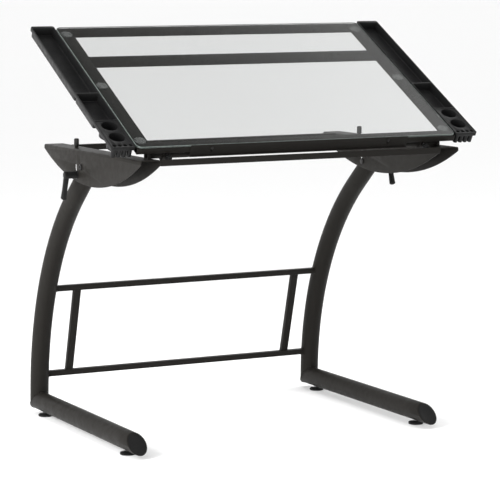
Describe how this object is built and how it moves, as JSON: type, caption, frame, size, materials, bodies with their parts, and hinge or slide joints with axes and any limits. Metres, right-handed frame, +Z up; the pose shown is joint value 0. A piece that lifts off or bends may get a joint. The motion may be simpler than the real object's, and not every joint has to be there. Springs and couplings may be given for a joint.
{
  "type": "drafting table",
  "caption": "Glass-topped drafting table on a curved tubular steel base, with a lifting half-moon cradle, a tilting frame, side trays and a sliding pencil ledge.",
  "frame": {"origin": "floor level, middle of the plan outline", "axes": "+X to the user's right, +Y to the rear, +Z up"},
  "size_m": [1.028, 0.8, 1.0647],
  "materials": {
    "charcoal_steel": "satin charcoal powder coat",
    "zinc_steel": "dull zinc plate",
    "black_bolts": "black oxide",
    "black_plastic": "fine moulded grain",
    "tray_plastic": "satin moulded",
    "black_rubber": "matt",
    "table_glass": "clear tempered, polished edge",
    "clear_pad": "clear vinyl"
  },
  "bodies": {
    "base": {"left_foot": "charcoal_steel", "right_foot": "charcoal_steel", "left_leg": "charcoal_steel", "right_leg": "charcoal_steel", "left_foot_plug": "black_plastic", "right_foot_plug": "black_plastic", "upper_brace_bar": "charcoal_steel", "lower_brace_bar": "charcoal_steel", "left_brace_upright": "charcoal_steel", "right_brace_upright": "charcoal_steel", "leveler_nuts": "zinc_steel", "pivot_bushings": "zinc_steel", "left_pivot_bolt": "black_bolts", "right_pivot_bolt": "black_bolts", "left_clamp_bolt": "black_bolts", "right_clamp_bolt": "black_bolts"},
    "cradle": {"left_bracket": "charcoal_steel", "right_bracket": "charcoal_steel", "front_crossbar": "charcoal_steel", "rear_crossbar": "charcoal_steel", "hinge_tube": "charcoal_steel", "left_hinge_lug": "charcoal_steel", "right_hinge_lug": "charcoal_steel", "left_rest_peg": "charcoal_steel", "right_rest_peg": "charcoal_steel", "left_peg_cap": "black_rubber", "right_peg_cap": "black_rubber"},
    "table_top": {"left_rail": "charcoal_steel", "right_rail": "charcoal_steel", "front_rail": "charcoal_steel", "middle_rail": "charcoal_steel", "rear_rail": "charcoal_steel", "glass_top": "table_glass", "glass_pads": "clear_pad", "left_tilt_collar": "charcoal_steel", "right_tilt_collar": "charcoal_steel", "ledge_screws": "black_bolts", "left_tray_supports": "charcoal_steel", "right_tray_supports": "charcoal_steel"},
    "left_lever": {"left_clamp_lever": "black_plastic", "left_lever_washer": "black_bolts"},
    "right_lever": {"right_clamp_lever": "black_plastic", "right_lever_washer": "black_bolts"},
    "left_knob": {"left_tilt_knob": "black_plastic", "left_knob_stud": "zinc_steel"},
    "right_knob": {"right_tilt_knob": "black_plastic", "right_knob_stud": "zinc_steel"},
    "ledge": {"pencil_ledge": "charcoal_steel"},
    "left_side_tray": {"left_tray": "tray_plastic"},
    "right_side_tray": {"right_tray": "tray_plastic"},
    "front_left_leveler": {"front_left_leveler_pad": "black_plastic", "front_left_leveler_stem": "zinc_steel"},
    "rear_left_leveler": {"rear_left_leveler_pad": "black_plastic", "rear_left_leveler_stem": "zinc_steel"},
    "front_right_leveler": {"front_right_leveler_pad": "black_plastic", "front_right_leveler_stem": "zinc_steel"},
    "rear_right_leveler": {"rear_right_leveler_pad": "black_plastic", "rear_right_leveler_stem": "zinc_steel"}
  },
  "joints": [
    {"name": "lift", "type": "hinge", "parent": "base", "child": "cradle", "pos_m": [0, -0.018, 0.709], "axis": [-1, 0, 0], "range_deg": [0, 40]},
    {"name": "tilt", "type": "hinge", "parent": "cradle", "child": "table_top", "pos_m": [0, -0.352, 0.762], "axis": [1, 0, 0], "range_deg": [-27.7, 28]},
    {"name": "ledge_slide", "type": "slide", "parent": "table_top", "child": "ledge", "axis": [0, -0.4648, 0.8854], "range_m": [0, 0.009]},
    {"name": "left_tray_lift", "type": "slide", "parent": "table_top", "child": "left_side_tray", "axis": [0, -0.4648, 0.8854], "range_m": [0, 0.05]},
    {"name": "right_tray_lift", "type": "slide", "parent": "table_top", "child": "right_side_tray", "axis": [0, -0.4648, 0.8854], "range_m": [0, 0.05]},
    {"name": "left_lever_turn", "type": "hinge", "parent": "base", "child": "left_lever", "pos_m": [-0.461, 0.0085, 0.68769], "axis": [1, 0, 0], "range_deg": [-60, 60]},
    {"name": "left_knob_turn", "type": "hinge", "parent": "table_top", "child": "left_knob", "pos_m": [-0.362, -0.37082, 0.7574], "axis": [0, 0.8854, 0.4648], "continuous": true},
    {"name": "front_left_leveler_screw", "type": "slide", "parent": "base", "child": "front_left_leveler", "axis": [0, 0, 1], "range_m": [-0.01, 0.002]},
    {"name": "rear_left_leveler_screw", "type": "slide", "parent": "base", "child": "rear_left_leveler", "axis": [0, 0, 1], "range_m": [-0.01, 0.002]},
    {"name": "right_lever_turn", "type": "hinge", "parent": "base", "child": "right_lever", "pos_m": [0.461, 0.0085, 0.68769], "axis": [1, 0, 0], "range_deg": [-60, 60]},
    {"name": "right_knob_turn", "type": "hinge", "parent": "table_top", "child": "right_knob", "pos_m": [0.362, -0.37082, 0.7574], "axis": [0, 0.8854, 0.4648], "continuous": true},
    {"name": "front_right_leveler_screw", "type": "slide", "parent": "base", "child": "front_right_leveler", "axis": [0, 0, 1], "range_m": [-0.01, 0.002]},
    {"name": "rear_right_leveler_screw", "type": "slide", "parent": "base", "child": "rear_right_leveler", "axis": [0, 0, 1], "range_m": [-0.01, 0.002]}
  ]
}
